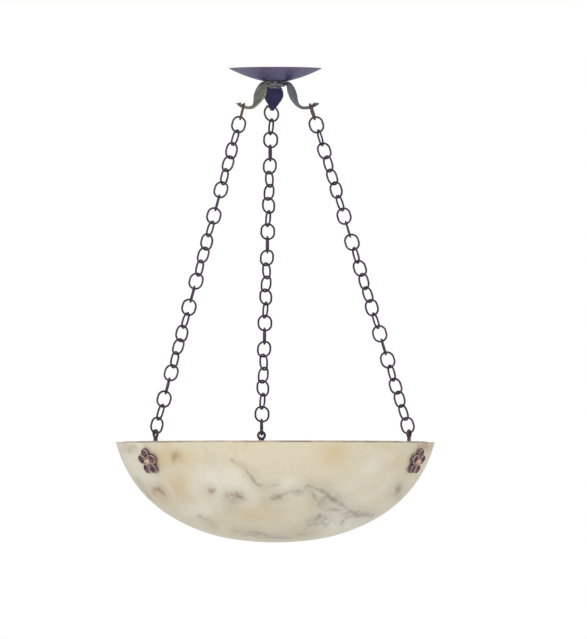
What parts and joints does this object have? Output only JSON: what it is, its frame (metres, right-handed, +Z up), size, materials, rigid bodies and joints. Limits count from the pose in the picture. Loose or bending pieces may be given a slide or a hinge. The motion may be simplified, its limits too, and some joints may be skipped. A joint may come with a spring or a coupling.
{
  "type": "bowl pendant light",
  "caption": "Round veined alabaster bowl hung from a small forged crown and ceiling canopy by chains of oval links, with flower rosettes over its hook bolts.",
  "frame": {"origin": "centre of the canopy's rim in the ceiling plane, which is also the centre of the ceiling screw pattern", "axes": "+Z up into the ceiling, the lamp hangs below; +Y towards the back chain, +X to the right as seen from the front"},
  "size_m": [0.4566, 0.4613, 0.6793],
  "materials": {
    "alabaster": "polished, cream with brown veins",
    "canopy_metal": "dark violet-grey patina",
    "forged_iron": "dark hammered bronze-brown",
    "cast_bronze": "dark cast bronze",
    "zinc_steel": "zinc plated",
    "red_fibre": "vulcanised fibre",
    "porcelain": "glazed",
    "opal_glass": "opal",
    "black_plastic": "matt"
  },
  "bodies": {
    "crown": {"ceiling_canopy": "canopy_metal", "mounting_crossbar": "zinc_steel", "stem_tube": "zinc_steel", "crossbar_lock_nut": "zinc_steel", "canopy_washer": "zinc_steel", "canopy_nut": "zinc_steel", "spacer_collar": "forged_iron", "crown_hub": "forged_iron", "crown_arm_left": "forged_iron", "crown_arm_right": "forged_iron", "crown_arm_back": "forged_iron", "arm_rivets": "forged_iron", "hub_nut": "forged_iron"},
    "ring_left": {"top_ring_left": "forged_iron"},
    "ring_right": {"top_ring_right": "forged_iron"},
    "ring_back": {"top_ring_back": "forged_iron"},
    "links_left": {"chain_left": "forged_iron"},
    "links_right": {"chain_right": "forged_iron"},
    "links_back": {"chain_back": "forged_iron"},
    "last_link_back": {"end_link_back": "forged_iron"},
    "bowl": {"alabaster_bowl": "alabaster", "wall_hook_left": "forged_iron", "wall_hook_right": "forged_iron", "wall_hook_back": "forged_iron", "rosette_left": "cast_bronze", "rosette_right": "cast_bronze", "rosette_back": "cast_bronze", "wall_bolts": "cast_bronze", "wall_nuts": "zinc_steel", "fibre_washers": "red_fibre", "lamp_spider": "zinc_steel", "lamp_cluster": "cast_bronze", "gland_nut": "zinc_steel", "cord_gland": "black_plastic", "lampholder_left": "porcelain", "lampholder_right": "porcelain", "lampholder_front": "porcelain", "bulb_left": "opal_glass", "bulb_right": "opal_glass", "bulb_front": "opal_glass"}
  },
  "joints": [
    {"name": "leg_swing_back", "type": "hinge", "parent": "crown", "child": "ring_back", "pos_m": [0, 0.056, -0.056], "axis": [1, 0, 0], "range_deg": [-4, 4]},
    {"name": "leg_swing_left", "type": "hinge", "parent": "crown", "child": "ring_left", "pos_m": [-0.0485, -0.028, -0.056], "axis": [1, 0, 0], "range_deg": [-4, 4]},
    {"name": "leg_swing_right", "type": "hinge", "parent": "crown", "child": "ring_right", "pos_m": [0.0485, -0.028, -0.056], "axis": [1, 0, 0], "range_deg": [-4, 4]},
    {"name": "chain_sway_back", "type": "hinge", "parent": "ring_back", "child": "links_back", "pos_m": [0, 0.06191, -0.07385], "axis": [0, 1, 0], "range_deg": [-4, 4]},
    {"name": "chain_sway_left", "type": "hinge", "parent": "ring_left", "child": "links_left", "pos_m": [-0.05362, -0.03095, -0.07385], "axis": [0, 1, 0], "range_deg": [-4, 4]},
    {"name": "chain_sway_right", "type": "hinge", "parent": "ring_right", "child": "links_right", "pos_m": [0.05362, -0.03095, -0.07385], "axis": [0, 1, 0], "range_deg": [-4, 4]},
    {"name": "bowl_sway", "type": "hinge", "parent": "links_back", "child": "last_link_back", "pos_m": [0, 0.21073, -0.52338], "axis": [0, 1, 0], "range_deg": [-2, 2]},
    {"name": "bowl_swing", "type": "hinge", "parent": "last_link_back", "child": "bowl", "pos_m": [0, 0.21073, -0.52338], "axis": [1, 0, 0], "range_deg": [-2, 2]}
  ],
  "couplings": [
    {"joint": "leg_swing_left", "follows": "leg_swing_back", "ratio": 1},
    {"joint": "leg_swing_right", "follows": "leg_swing_back", "ratio": 1},
    {"joint": "bowl_swing", "follows": "leg_swing_back", "ratio": -0.26575},
    {"joint": "chain_sway_left", "follows": "chain_sway_back", "ratio": 1},
    {"joint": "chain_sway_right", "follows": "chain_sway_back", "ratio": 1},
    {"joint": "bowl_sway", "follows": "chain_sway_back", "ratio": -0.29379}
  ]
}
